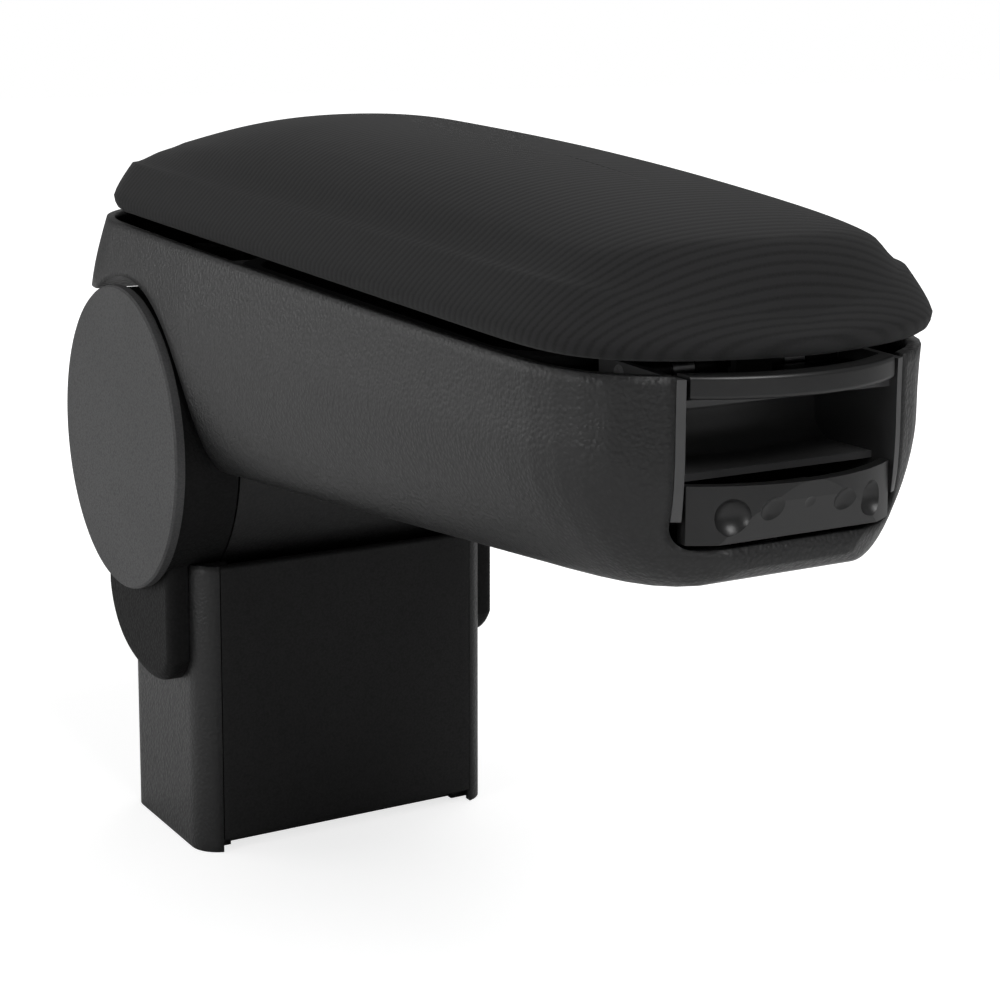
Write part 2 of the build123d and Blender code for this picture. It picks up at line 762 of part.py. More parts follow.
def lock_lever():
    height = lock_high - lock_low
    front = extrude(Pos(0, 0, lock_low) * face_arc(lock_front), height)
    lean = make_face([
        Line((lock_front - 45, lock_low), (lock_front - lock_lean, lock_low)),
        Line((lock_front - lock_lean, lock_low), (lock_front - 1, lock_high - 4)),
        Line((lock_front - 1, lock_high - 4), (lock_front, lock_high)),
        Line((lock_front, lock_high), (lock_front - 45, lock_high)),
        Line((lock_front - 45, lock_high), (lock_front - 45, lock_low)),
    ])
    blade = front & across(0, lean, 60)
    face = blade - Pos(-lock_thickness, 0, 0) * blade
    face &= block(lock_pin_x - 4, lock_front + 1, -far, far, lock_low, lock_high)
    for step in range(-2, 3):
        y = step * dimple_pitch
        x = lock_front - (face_radius - math.sqrt(face_radius ** 2 - y ** 2)) - 1.4
        face -= Pos(x + dimple_radius - dimple_depth, y, dimple_height) * Sphere(dimple_radius)
    half = opening_half_width - lever_side_gap
    web = extrude(Pos(0, 0, lock_pin_z - 1) * face_arc(lock_front, lock_lean), lever_sheet)
    web -= block(0, lock_pin_x, -far, far, belly_height - 20, rim_height_front + 20)
    boss = small_pin_radius + running_gap + boss_wall * 0.6
    lever = face + web
    lever += cylinder_y(lock_pin_x, lock_pin_z, boss, -half, half)
    tail_front = lock_tail_front()
    lever += block(tail_front - tail_thickness, tail_front, -tail_half_width, tail_half_width,
                   rod_height - 3.5, lock_pin_z)
    for side in (-1, 1):
        low, high = sorted((side * spring_inner, side * spring_outer))
        lever -= cylinder_y(lock_pin_x, lock_pin_z, boss + 1.5, low, high)
    lever -= cylinder_y(lock_pin_x, lock_pin_z, small_pin_radius + running_gap, -far, far)
    lever -= rod_fork(tail_front - tail_thickness, tail_front)
    return lever


def lever_pin(x, z):
    reach = opening_half_width + carrier_wall
    return cylinder_y(x, z, small_pin_radius, -reach, reach)


def torsion_spring(x, z):
    """Two short wound coils on a lever's pin, each drawn as its close-wound tube."""
    coils = []
    for side in (-1, 1):
        low, high = sorted((side * (spring_inner + 0.6), side * (spring_outer - 0.6)))
        coil = cylinder_y(x, z, small_pin_radius + 0.9, low, high)
        coil -= cylinder_y(x, z, small_pin_radius + 0.1, low - 1, high + 1)
        coils.append(coil)
    return Compound(children=coils)


# Lid


def lid_share(x):
    """Share of the lid's full width at x, at the nose and at the rear."""
    back = min(max((lid_rear_x + lid_rear_round - x) / lid_rear_round, 0), 1)
    return fullness(x, -lid_overhang), math.sqrt(1 - back ** 2)


def lid_ridge(x):
    """Height of the lid's ridge over its underside, as if the lid had no rounded ends."""
    front = max(0, x - lid_peak_x) / (arm_nose - lid_peak_x)
    rear = max(0, lid_peak_x - x) / (lid_peak_x - lid_rear_x)
    return lid_thickness - lid_front_fall * front ** 2.5 - lid_rear_fall * rear ** 2


def lid_section(x):
    """One cross-section of the padded lid at x: rounded foot, leaning band, crease and crown."""
    nose, rear = lid_share(x)
    share = nose * rear
    half = arm_half_width * share
    base = rim(x) + lid_gap / 2
    band = lid_band * (0.55 + 0.45 * min(nose, rear))
    ends = (nose_crown + (1 - nose_crown) * nose) * (rear_crown + (1 - rear_crown) * rear)
    rise = (lid_ridge(x) - band) * ends
    crease = half - lid_band_lean * share
    foot = half - lid_foot * share
    side = base + lid_foot
    top = base + band + rise
    shoulder_y = crease * (0.62 + 0.3 * shoulder)
    edges = [Line((0, base), (foot, base))]
    edges += [Bezier((foot, base), (half, base), (half, side))]
    edges += [Line((half, side), (crease, base + band))]
    edges += [Bezier((crease, base + band), (shoulder_y, base + band + rise * shoulder),
                     (crease * crown_width, top), (0, top))]
    face = make_face(edges + [mirror(edge, Plane.YZ) for edge in edges])
    return Plane(origin=(x, 0, 0), x_dir=(0, 1, 0), z_dir=(1, 0, 0)) * face


def hinge_axis():
    return (hinge_x, rim(hinge_x) + hinge_rise)


def pan_column():
    """The plan of the lid's hard pan, drawn up through the lid."""
    half = arm_half_width - lid_base_inset
    front = arm_nose - 30.0
    rear = hinge_x + 36.0
    outline = make_face([
        Line((rear, -half), (front, -half)),
        ThreePointArc((front, -half), (front + 18.0, 0), (front, half)),
        Line((front, half), (rear, half)),
        ThreePointArc((rear, half), (rear - 27.0, 0), (rear, -half)),
    ])
    return Pos(0, 0, belly_height) * extrude(outline, 2 * far)


def lid_base():
    slab = above_rim(lid_gap / 2) - above_rim(lid_gap / 2 + lid_base_thickness)
    plate = slab & pan_column()
    axis_x, axis_z = hinge_axis()
    base_z = rim(hinge_x + 8) + lid_gap / 2
    for side in (-1, 1):
        start = side * (ear_half_width + ear_thickness / 2 + 0.4)
        end = start + side * knuckle_length
        low, high = sorted((start, end))
        plate += cylinder_y(axis_x, axis_z, knuckle_radius, low, high)
        plate += block(axis_x, hinge_x + 14, low, high, base_z + 0.4, base_z + lid_base_thickness)
        plate -= cylinder_y(axis_x, axis_z, hinge_pin_radius + running_gap, low - 1, high + 1)
    for x, y in lid_screw_places():
        plate -= Pos(x, y, rim(x)) * Cylinder(screw_radius + screw_gap, 20)
    return plate


def lid_screw_places():
    return [(x, side * 36.0) for x in (0.0, 190.0) for side in (-1, 1)]


def lid_screws():
    screws = []
    for x, y in lid_screw_places():
        base = rim(x) + lid_gap / 2
        head = Pos(x, y, base - 0.65) * Cylinder(screw_head_radius, 0.8)
        shank = Pos(x, y, base + 2.8) * Cylinder(screw_radius, 6.8)
        screws.append(head + shank)
    return Compound(children=screws)


def lid_cushion():
    places = [lid_rear_x + gap for gap in (0.6, 2.0, 4.5, 8.0, 13.0, 20.0, 29.0, 40.0)]
    places += stations(lid_peak_x - 50.0, -lid_overhang)
    form = loft([lid_section(x) for x in places], ruled=True)
    slab = above_rim(lid_gap / 2 - 1) - above_rim(lid_gap / 2 + lid_base_thickness)
    form -= slab & pan_column()
    axis_x, axis_z = hinge_axis()
    reach = ear_half_width + ear_thickness / 2 + knuckle_length + 1.5
    room = knuckle_radius + hinge_pocket
    form -= cylinder_y(axis_x, axis_z, room, -reach, reach)
    form -= block(axis_x - room, axis_x + 15, -reach, reach, axis_z - 30, axis_z)
    for side in (-1, 1):
        middle = side * ear_half_width
        half_slot = ear_thickness / 2 + hinge_pocket
        form -= block(lid_rear_x - 5, axis_x, middle - half_slot, middle + half_slot,
                      axis_z - 30, axis_z + knuckle_radius)
    for x, y in lid_screw_places():
        form -= Pos(x, y, rim(x)) * Cylinder(screw_radius + 0.1, 18)
    return form


def lid_catch():
    low = rim(catch_x) + lid_gap / 2 - catch_depth
    top = rim(catch_x + 2) + lid_gap / 2
    half = catch_half_width - 1
    catch = block(catch_x, catch_x + 2, -half, half, low, top)
    catch += block(catch_x - 1.2, catch_x + 1, -half, half, low, low + 1.5)
    return catch


def lid_hinge_ears():
    axis_x, axis_z = hinge_axis()
    deck = pivot_z + arch_radius + arm_wall - 0.5
    ears = []
    for side in (-1, 1):
        middle = side * ear_half_width
        outline = make_face([
            Line((axis_x - ear_round, deck), (axis_x + 8, deck)),
            Line((axis_x + 8, deck), (axis_x + ear_round, axis_z)),
            ThreePointArc((axis_x + ear_round, axis_z), (axis_x, axis_z + ear_round),
                          (axis_x - ear_round, axis_z)),
            Line((axis_x - ear_round, axis_z), (axis_x - ear_round, deck)),
        ])
        ear = across(middle, outline, ear_thickness / 2)
        ear += block(axis_x - 6, axis_x + 8, middle - 6, middle + 6, deck, deck + 1.5)
        ear -= cylinder_y(axis_x, axis_z, hinge_pin_radius, -far, far)
        ears.append(ear)
    return Compound(children=ears)


def lid_hinge_pins():
    axis_x, axis_z = hinge_axis()
    pins = []
    for side in (-1, 1):
        start = side * (ear_half_width - ear_thickness / 2)
        end = side * (ear_half_width + ear_thickness / 2 + knuckle_length + 0.6)
        pins.append(cylinder_y(axis_x, axis_z, hinge_pin_radius, *sorted((start, end))))
    return Compound(children=pins)


def build():
    outer = arm_form(0, rim_height_front + 60.0)
    return {
        "column_shell": column_shell(),
        "column_front_panel": column_front_panel(),
        "hub_side_right": hub_side(-1),
        "hub_side_left": hub_side(1),
        "hub_disc_right": hub_disc(-1),
        "hub_disc_left": hub_disc(1),
        "hub_centre_cover": hub_centre_cover(),
        "base_bracket": base_bracket(),
        "pivot_shaft": pivot_shaft(),
        "shaft_rings": shaft_rings(),
        "pivot_bushes": pivot_bushes(),
        "brake_drum": brake_drum(),
        "brake_shoe": brake_shoe(),
        "brake_pad": brake_pad(),
        "shoe_pin": shoe_pin(),
        "pull_rod": pull_rod(),
        "arm_bracket": arm_bracket(),
        "bracket_screws": bracket_screws(),
        "arm_shell": arm_shell(outer),
        "storage_tub": storage_tub(),
        "tub_mat": tub_mat(),
        "tub_screws": tub_screws(),
        "lever_carrier": lever_carrier(outer),
        "latch_lever": latch_lever(),
        "lock_lever": lock_lever(),
        "latch_pin": lever_pin(latch_pin_x, latch_pin_z),
        "lock_pin": lever_pin(lock_pin_x, lock_pin_z),
        "latch_spring": torsion_spring(latch_pin_x, latch_pin_z),
        "lock_spring": torsion_spring(lock_pin_x, lock_pin_z),
        "lid_base": lid_base(),
        "lid_cushion": lid_cushion(),
        "lid_catch": lid_catch(),
        "lid_screws": lid_screws(),
        "lid_hinge_ears": lid_hinge_ears(),
        "lid_hinge_pins": lid_hinge_pins(),
    }


os.makedirs("parts", exist_ok=True)
for node, shape in build().items():
    export_step(shape, "parts/" + node + ".step")
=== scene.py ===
import math

import bmesh
import bpy
from mathutils import Matrix, Vector
from mathutils.kdtree import KDTree


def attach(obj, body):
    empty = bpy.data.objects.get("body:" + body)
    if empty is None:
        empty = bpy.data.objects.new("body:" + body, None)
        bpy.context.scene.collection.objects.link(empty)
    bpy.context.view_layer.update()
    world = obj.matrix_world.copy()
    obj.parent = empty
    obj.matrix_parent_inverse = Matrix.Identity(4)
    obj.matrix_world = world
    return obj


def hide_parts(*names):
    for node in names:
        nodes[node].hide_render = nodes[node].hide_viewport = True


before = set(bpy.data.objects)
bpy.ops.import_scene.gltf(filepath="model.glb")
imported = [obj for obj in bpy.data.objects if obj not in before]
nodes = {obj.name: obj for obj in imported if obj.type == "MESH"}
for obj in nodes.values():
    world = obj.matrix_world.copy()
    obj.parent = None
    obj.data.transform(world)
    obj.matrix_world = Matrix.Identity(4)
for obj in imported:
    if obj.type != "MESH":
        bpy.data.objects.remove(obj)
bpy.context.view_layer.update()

# Car centre armrest: finishes, padded lid, studio and camera. Lengths in metres, as in the frame.

MM = 0.001


# Shader nodes, and the values that more than one finish shares

COOL_TINT = 1.02
GRAIN_BEND_SCALE = 260.0
GRAIN_BEND = 0.0012
GRAIN_ROUNDNESS = 0.55
PORE_SCALE = 2600.0
SHEEN_ROUGHNESS = 0.45
WHOLE_TURN = 2 * math.pi


def add(tree, kind, **settings):
    """A shader node with its properties and unlinked input values set by name."""
    node = tree.nodes.new(kind)
    for name, value in settings.items():
        if hasattr(node, name):
            setattr(node, name, value)
        else:
            node.inputs[name.replace("_", " ")].default_value = value
    return node


def join(tree, out_node, out_name, in_node, in_name):
    """A link from one node's output to another's input, each by name or number."""
    tree.links.new(out_node.outputs[out_name], in_node.inputs[in_name])


def shader_group(name, inputs, outputs):
    """An empty node group with float inputs and the named outputs."""
    group = bpy.data.node_groups.new(name, "ShaderNodeTree")
    for label, value in inputs.items():
        socket = group.interface.new_socket(label, in_out="INPUT", socket_type="NodeSocketFloat")
        socket.default_value = value
    for label, kind in outputs.items():
        group.interface.new_socket(label, in_out="OUTPUT", socket_type=kind)
    return group, group.nodes.new("NodeGroupInput"), group.nodes.new("NodeGroupOutput")


def moulded_grain():
    """Leather grain of a moulded plastic: pebbles with fine creases, as height and as a mask."""
    group, source, sink = shader_group(
        "moulded grain", {"Pebbles per metre": 900.0, "Crease": 0.5},
        {"Height": "NodeSocketFloat", "Mask": "NodeSocketFloat"})
    place = group.nodes.new("ShaderNodeTexCoord")
    bend = add(group, "ShaderNodeTexNoise", Scale=GRAIN_BEND_SCALE, Detail=2.0)
    join(group, place, "Object", bend, "Vector")
    shift = add(group, "ShaderNodeVectorMath", operation="SCALE")
    shift.inputs["Scale"].default_value = GRAIN_BEND
    join(group, bend, "Color", shift, 0)
    moved = add(group, "ShaderNodeVectorMath", operation="ADD")
    join(group, place, "Object", moved, 0)
    join(group, shift, "Vector", moved, 1)
    cells = add(group, "ShaderNodeTexVoronoi", feature="SMOOTH_F1", Smoothness=GRAIN_ROUNDNESS)
    join(group, moved, "Vector", cells, "Vector")
    join(group, source, "Pebbles per metre", cells, "Scale")
    fine = add(group, "ShaderNodeTexNoise", Scale=PORE_SCALE, Detail=3.0)
    join(group, place, "Object", fine, "Vector")
    dome = add(group, "ShaderNodeMath", operation="SUBTRACT")
    dome.inputs[0].default_value = 1.0
    join(group, cells, "Distance", dome, 1)
    mixed = add(group, "ShaderNodeMath", operation="MULTIPLY_ADD")
    join(group, fine, "Fac", mixed, 0)
    join(group, source, "Crease", mixed, 1)
    join(group, dome, "Value", mixed, 2)
    join(group, mixed, "Value", sink, "Height")
    join(group, dome, "Value", sink, "Mask")
    return group


def cloud_tone():
    """Slow unevenness of a large moulding, from 0 to 1."""
    group, source, sink = shader_group("cloud tone", {"Clouds per metre": 14.0},
                                       {"Value": "NodeSocketFloat"})
    place = group.nodes.new("ShaderNodeTexCoord")
    cloud = add(group, "ShaderNodeTexNoise", Detail=4.0, Roughness=0.6)
    join(group, place, "Object", cloud, "Vector")
    join(group, source, "Clouds per metre", cloud, "Scale")
    join(group, cloud, "Fac", sink, "Value")
    return group


GRAIN = moulded_grain()
CLOUD = cloud_tone()


def new_material(name, roughness, specular=0.5, metallic=0.0, sheen=0.0):
    """A material with its Principled shader set to plain values."""
    material = bpy.data.materials.new(name)
    material.use_nodes = True
    tree = material.node_tree
    shader = tree.nodes["Principled BSDF"]
    shader.inputs["Roughness"].default_value = roughness
    shader.inputs["Specular IOR Level"].default_value = specular
    shader.inputs["Metallic"].default_value = metallic
    shader.inputs["Sheen Weight"].default_value = sheen
    shader.inputs["Sheen Roughness"].default_value = SHEEN_ROUGHNESS
    return material, tree, shader


def place_group(tree, group, **values):
    """One use of a shared effect in a material, with its own input values."""
    node = tree.nodes.new("ShaderNodeGroup")
    node.node_tree = group
    for name, value in values.items():
        node.inputs[name.replace("_", " ")].default_value = value
    return node


def ramp(tree, low, high, dark, light):
    """A grey ramp from dark at low to light at high."""
    node = tree.nodes.new("ShaderNodeValToRGB")
    node.color_ramp.elements[0].position = low
    node.color_ramp.elements[0].color = (dark, dark, dark * COOL_TINT, 1)
    node.color_ramp.elements[1].position = high
    node.color_ramp.elements[1].color = (light, light, light * COOL_TINT, 1)
    return node


# Moulded and satin plastics

MOULDED_CREASE = 0.35
MOULDED_CLOUDS = 18.0
CREASE_TONE = 0.8
PEBBLE_TONE = 1.18
CREASE_DULLNESS = 0.10
PEBBLE_SHINE = 0.07
MOULDED_RELIEF = 0.55
SATIN_PEBBLES = 3200.0
SATIN_CREASE = 0.8
SATIN_CLOUDS = 60.0
SATIN_RELIEF = 0.12
SATIN_DEPTH = 0.08 * MM


def moulded_plastic(name, tone, roughness, pebbles, depth, specular=0.45, edge=0.0):
    """Grained moulded plastic: lighter pebbles, duller creases, and slow unevenness.

    Lengths are in metres: depth is the grain's height, and edge the rounding of sharp edges.
    """
    material, tree, shader = new_material(name, roughness, specular)
    grain = place_group(tree, GRAIN, Pebbles_per_metre=pebbles, Crease=MOULDED_CREASE)
    cloud = place_group(tree, CLOUD, Clouds_per_metre=MOULDED_CLOUDS)
    blend = add(tree, "ShaderNodeMath", operation="MULTIPLY")
    join(tree, grain, "Mask", blend, 0)
    join(tree, cloud, "Value", blend, 1)
    colour = ramp(tree, 0.12, 0.50, tone * CREASE_TONE, tone * PEBBLE_TONE)
    join(tree, blend, "Value", colour, "Fac")
    join(tree, colour, "Color", shader, "Base Color")
    dull = add(tree, "ShaderNodeMapRange")
    dull.inputs["To Min"].default_value = roughness + CREASE_DULLNESS
    dull.inputs["To Max"].default_value = roughness - PEBBLE_SHINE
    join(tree, grain, "Mask", dull, "Value")
    join(tree, dull, "Result", shader, "Roughness")
    bump = add(tree, "ShaderNodeBump", Strength=MOULDED_RELIEF)
    bump.inputs["Distance"].default_value = depth
    if edge:
        soft = add(tree, "ShaderNodeBevel", samples=6, Radius=edge)
        join(tree, soft, "Normal", bump, "Normal")
    join(tree, grain, "Height", bump, "Height")
    join(tree, bump, "Normal", shader, "Normal")
    return material


def satin_plastic(name, tone, roughness, specular=0.5):
    """Smooth injection-moulded plastic with a faint flow texture."""
    material, tree, shader = new_material(name, roughness, specular)
    cloud = place_group(tree, CLOUD, Clouds_per_metre=SATIN_CLOUDS)
    colour = ramp(tree, 0.25, 0.75, tone * 0.85, tone * 1.15)
    join(tree, cloud, "Value", colour, "Fac")
    join(tree, colour, "Color", shader, "Base Color")
    grain = place_group(tree, GRAIN, Pebbles_per_metre=SATIN_PEBBLES, Crease=SATIN_CREASE)
    bump = add(tree, "ShaderNodeBump", Strength=SATIN_RELIEF)
    bump.inputs["Distance"].default_value = SATIN_DEPTH
    join(tree, grain, "Height", bump, "Height")
    join(tree, bump, "Normal", shader, "Normal")
    return material


# Steel parts

STREAKS_ACROSS = 1400.0
STREAKS_ALONG = 60.0
STEEL_RELIEF = 0.2
STEEL_DEPTH = 0.05 * MM


def worked_metal(name, tone, roughness, streak_axis, metallic=1.0):
    """Plated or coated steel with fine drawing streaks along one axis."""
    material, tree, shader = new_material(name, roughness, 0.5, metallic)
    place = tree.nodes.new("ShaderNodeTexCoord")
    stretch = tree.nodes.new("ShaderNodeMapping")
    scale = [STREAKS_ACROSS, STREAKS_ACROSS, STREAKS_ACROSS]
    scale[streak_axis] = STREAKS_ALONG
    stretch.inputs["Scale"].default_value = scale
    join(tree, place, "Object", stretch, "Vector")
    streaks = add(tree, "ShaderNodeTexNoise", Scale=1.0, Detail=3.0)
    join(tree, stretch, "Vector", streaks, "Vector")
    colour = ramp(tree, 0.3, 0.7, tone * 0.8, min(1.0, tone * 1.15))
    join(tree, streaks, "Fac", colour, "Fac")
    join(tree, colour, "Color", shader, "Base Color")
    bump = add(tree, "ShaderNodeBump", Strength=STEEL_RELIEF)
    bump.inputs["Distance"].default_value = STEEL_DEPTH
    join(tree, streaks, "Fac", bump, "Height")
    join(tree, bump, "Normal", shader, "Normal")
    return material


# Ribbed cloth of the lid. The ribs run across the arm, and follow the cloth down the lid's nose.

RIB_PITCH = 2.6 * MM
RIB_BOW = -0.8
RIB_FALL = -0.7
RIB_WANDER = 0.3 * MM
WANDER_SCALE = 30.0
WEAVE_SCALE = 1900.0
WEAVE_SHARE = 0.8
CLOTH_ROUGHNESS = 0.85
CLOTH_SPECULAR = 0.12
CLOTH_SHEEN = 0.05
CLOTH_RELIEF = 0.22
CLOTH_DEPTH = 0.2 * MM


def ribbed_cloth(name, tone):
    """Black cloth with fine ribs, a fine weave and a faint sheen."""
    material, tree, shader = new_material(name, CLOTH_ROUGHNESS, CLOTH_SPECULAR, sheen=CLOTH_SHEEN)
    place = tree.nodes.new("ShaderNodeTexCoord")
    parts = tree.nodes.new("ShaderNodeSeparateXYZ")
    join(tree, place, "Object", parts, "Vector")
    wander = add(tree, "ShaderNodeTexNoise", Scale=WANDER_SCALE, Detail=1.0)
    join(tree, place, "Object", wander, "Vector")
    bow = add(tree, "ShaderNodeMath", operation="MULTIPLY")
    join(tree, parts, "Y", bow, 0)
    join(tree, parts, "Y", bow, 1)
    bowed = add(tree, "ShaderNodeMath", operation="MULTIPLY_ADD")
    bowed.inputs[1].default_value = RIB_BOW
    join(tree, bow, "Value", bowed, 0)
    along = add(tree, "ShaderNodeMath", operation="MULTIPLY_ADD")
    along.inputs[1].default_value = RIB_FALL
    join(tree, parts, "Z", along, 0)
    join(tree, parts, "X", along, 2)
    join(tree, along, "Value", bowed, 2)
    drift = add(tree, "ShaderNodeMath", operation="MULTIPLY_ADD")
    drift.inputs[1].default_value = RIB_WANDER
    join(tree, wander, "Fac", drift, 0)
    join(tree, bowed, "Value", drift, 2)
    phase = add(tree, "ShaderNodeMath", operation="MULTIPLY")
    phase.inputs[1].default_value = WHOLE_TURN / RIB_PITCH
    join(tree, drift, "Value", phase, 0)
    rib = add(tree, "ShaderNodeMath", operation="SINE")
    join(tree, phase, "Value", rib, 0)
    lift = add(tree, "ShaderNodeMath", operation="MULTIPLY_ADD")
    lift.inputs[1].default_value = 0.5
    lift.inputs[2].default_value = 0.5
    join(tree, rib, "Value", lift, 0)
    weave = add(tree, "ShaderNodeTexNoise", Scale=WEAVE_SCALE, Detail=2.0)
    join(tree, place, "Object", weave, "Vector")
    height = add(tree, "ShaderNodeMath", operation="MULTIPLY_ADD")
    height.inputs[1].default_value = WEAVE_SHARE
    join(tree, weave, "Fac", height, 0)
    join(tree, lift, "Value", height, 2)
    colour = ramp(tree, 0.2, 1.5, tone * 0.75, tone * 1.25)
    join(tree, height, "Value", colour, "Fac")
    join(tree, colour, "Color", shader, "Base Color")
    bump = add(tree, "ShaderNodeBump", Strength=CLOTH_RELIEF)
    bump.inputs["Distance"].default_value = CLOTH_DEPTH
    join(tree, height, "Value", bump, "Height")
    join(tree, bump, "Normal", shader, "Normal")
    return material


# Finishes of the frame's own pieces. Bare steel is the finish of all that FINISH doesn't name.

GRAINED = moulded_plastic("grained plastic", 0.012, 0.36, 950.0, 0.26 * MM, edge=4.0 * MM)
DISC = moulded_plastic("disc plastic", 0.048, 0.55, 1700.0, 0.08 * MM)
PANEL = moulded_plastic("panel plastic", 0.009, 0.60, 1500.0, 0.08 * MM, 0.25)
DRUM = moulded_plastic("drum plastic", 0.008, 0.50, 1100.0, 0.15 * MM, 0.35)
# A darker copy of the grained plastic: painted shade on the hub's side shells.
HUB_PAINTED_SHADE = moulded_plastic("shaded hub plastic", 0.008, 0.55, 1100.0, 0.15 * MM, 0.10)
SMOOTH = satin_plastic("smooth plastic", 0.010, 0.36)
# A lighter copy of the smooth lever plastic: painted light on the carrier in the recess under the bar.
RECESS_PAINTED_LIGHT = satin_plastic("lit recess plastic", 0.050, 0.34, 0.6)
INNER = satin_plastic("inner plastic", 0.018, 0.6, 0.3)
COATED = worked_metal("coated steel", 0.03, 0.45, 0, 0.2)
PLATED = worked_metal("plated steel", 0.55, 0.32, 1)
ACETAL = satin_plastic("acetal", 0.55, 0.4)
RUBBER = moulded_plastic("rubber", 0.02, 0.8, 2200.0, 0.1 * MM, 0.3)
CLOTH = ribbed_cloth("ribbed cloth", 0.017)

FINISH = {
    "arm_shell": GRAINED,
    "column_shell": GRAINED,
    "hub_side_right": HUB_PAINTED_SHADE,
    "hub_side_left": HUB_PAINTED_SHADE,
    "hub_disc_right": DISC,
    "hub_disc_left": DISC,
    "column_front_panel": PANEL,
    "hub_centre_cover": DRUM,
    "latch_lever": SMOOTH,
    "lock_lever": SMOOTH,
    "lever_carrier": RECESS_PAINTED_LIGHT,
    "storage_tub": INNER,
    "lid_base": INNER,
    "lid_catch": INNER,
    "base_bracket": COATED,
    "arm_bracket": COATED,
    "lid_hinge_ears": COATED,
    "pivot_bushes": ACETAL,
    "tub_mat": RUBBER,
    "brake_pad": RUBBER,
    "lid_cushion": CLOTH,
}


def finish_nodes():
    """Give every piece of the frame its finish."""
    for name, node in nodes.items():
        material = FINISH.get(name, PLATED)
        node.data.materials.clear()
        node.data.materials.append(material)


# The padded lid: rings that follow its plan, on the same form as the frame's lid_cushion. Millimetres.

ARM_NOSE = 254.8
LID_OVERHANG = 1.5
LID_FRONT = ARM_NOSE + LID_OVERHANG
NOSE_START = 160.0
NOSE_FULLNESS = 8.5
NOSE_ROUNDNESS = 2 / 3
LID_HALF_WIDTH = 54.5
LID_REAR = -56.5
LID_REAR_ROUND = 40.0
RIM_FRONT = 180.0
RIM_SLOPE = 0.045
RIM_REFERENCE = 230.2
HALF_GAP = 1.5
LID_THICKNESS = 34.7
LID_PEAK = 60.0
FRONT_FALL = 10.8
FRONT_FALL_POWER = 2.5
REAR_FALL = 26.3
BAND = 15.0
BAND_END_SHARE = 0.55
BAND_LEAN = 6.0
BAND_LEAN_POWER = 1.25
BAND_LEVELS = (0.2, 0.4, 0.6, 0.8, 0.92)
FOOT = 4.5
FOOT_RINGS = ((5.6, 3.0), (5.2, 0.5), (4.0, 0.05), (2.4, 0.3), (1.1, 1.2), (0.35, 2.7), (0.0, FOOT))
CROWN_WIDTH = 0.69
SHOULDER = 0.59
SHOULDER_REACH = 0.62
SHOULDER_SPREAD = 0.3
NOSE_CROWN = 0.24
REAR_CROWN = 0.19
SPINE_FRONT = 190.0
CREASE_BLEND = 9.0
CROWN_CROWDING = 1.15
PLAN_STEPS = 1600
PLAN_POINTS = 420
CROWN_RINGS = 48
HALVINGS = 18
WELD = 0.05

# How far the unstuffed crown lies below its real height, over how much height that fades in

SLACK = 1.3
FREE_HEIGHT = 5.0


def rim(x):
    """Height of the arm's rim, which the lid shuts on."""
    return RIM_FRONT - RIM_SLOPE * (x - RIM_REFERENCE)


def lid_shares(x):
    """Shares of the lid's full width at x, towards the nose and towards the rear."""
    reach = min(max((x - NOSE_START) / (LID_FRONT - NOSE_START), 0), 1)
    back = min(max((LID_REAR + LID_REAR_ROUND - x) / LID_REAR_ROUND, 0), 1)
    return (1 - reach ** NOSE_FULLNESS) ** NOSE_ROUNDNESS, math.sqrt(1 - back ** 2)


def lid_half(x):
    """Half of the lid's width at x."""
    nose, rear = lid_shares(x)
    return LID_HALF_WIDTH * nose * rear


def band_height(x):
    """Height of the side band, which is lower round the lid's ends."""
    return BAND * (BAND_END_SHARE + (1 - BAND_END_SHARE) * min(lid_shares(x)))


def bezier(points, t):
    """A value on the curve of four points, at t from 0 to 1."""
    a, b, c, d = points
    s = 1 - t
    return a * s ** 3 + 3 * b * s * s * t + 3 * c * s * t * t + d * t ** 3


def crown_height(x, y):
    """Height of the crown over the lid's underside."""
    nose, rear = lid_shares(x)
    share = nose * rear
    front = max(0, x - LID_PEAK) / (ARM_NOSE - LID_PEAK)
    back = max(0, LID_PEAK - x) / (LID_PEAK - LID_REAR)
    ridge = LID_THICKNESS - FRONT_FALL * front ** FRONT_FALL_POWER - REAR_FALL * back ** 2
    band = band_height(x)
    nose_rise = NOSE_CROWN + (1 - NOSE_CROWN) * nose
    rear_rise = REAR_CROWN + (1 - REAR_CROWN) * rear
    rise = (ridge - band) * nose_rise * rear_rise
    crease = LID_HALF_WIDTH * share - BAND_LEAN * share
    if abs(y) >= crease:
        return band
    shoulder = crease * (SHOULDER_REACH + SHOULDER_SPREAD * SHOULDER)
    across = (crease, shoulder, crease * CROWN_WIDTH, 0.0)
    low, high = 0.0, 1.0
    for _ in range(HALVINGS):
        t = (low + high) / 2
        at = bezier(across, t)
        if at > abs(y):
            low = t
        else:
            high = t
    return band + rise * bezier((0.0, SHOULDER, 1.0, 1.0), t)


def lid_plan():
    """Points round the lid's plan, evenly spaced, each with its outward direction."""
    dense = []
    middle = (LID_FRONT + LID_REAR) / 2
    half_length = (LID_FRONT - LID_REAR) / 2
    for i in range(PLAN_STEPS + 1):
        x = middle + half_length * math.cos(math.pi * i / PLAN_STEPS)
        dense.append(Vector((x, lid_half(x))))
    dense += [Vector((point.x, -point.y)) for point in reversed(dense[1:-1])]
    lengths = [0.0]
    for i in range(len(dense)):
        lengths.append(lengths[-1] + (dense[(i + 1) % len(dense)] - dense[i]).length)
    points = []
    at = 0
    for k in range(PLAN_POINTS):
        want = lengths[-1] * k / PLAN_POINTS
        while lengths[at + 1] < want:
            at += 1
        share = (want - lengths[at]) / max(lengths[at + 1] - lengths[at], 1e-9)
        points.append(dense[at].lerp(dense[(at + 1) % len(dense)], share))
    outward = []
    for k in range(PLAN_POINTS):
        along = points[(k + 2) % PLAN_POINTS] - points[k - 2]
        outward.append(Vector((along.y, -along.x)).normalized())
    return points, outward


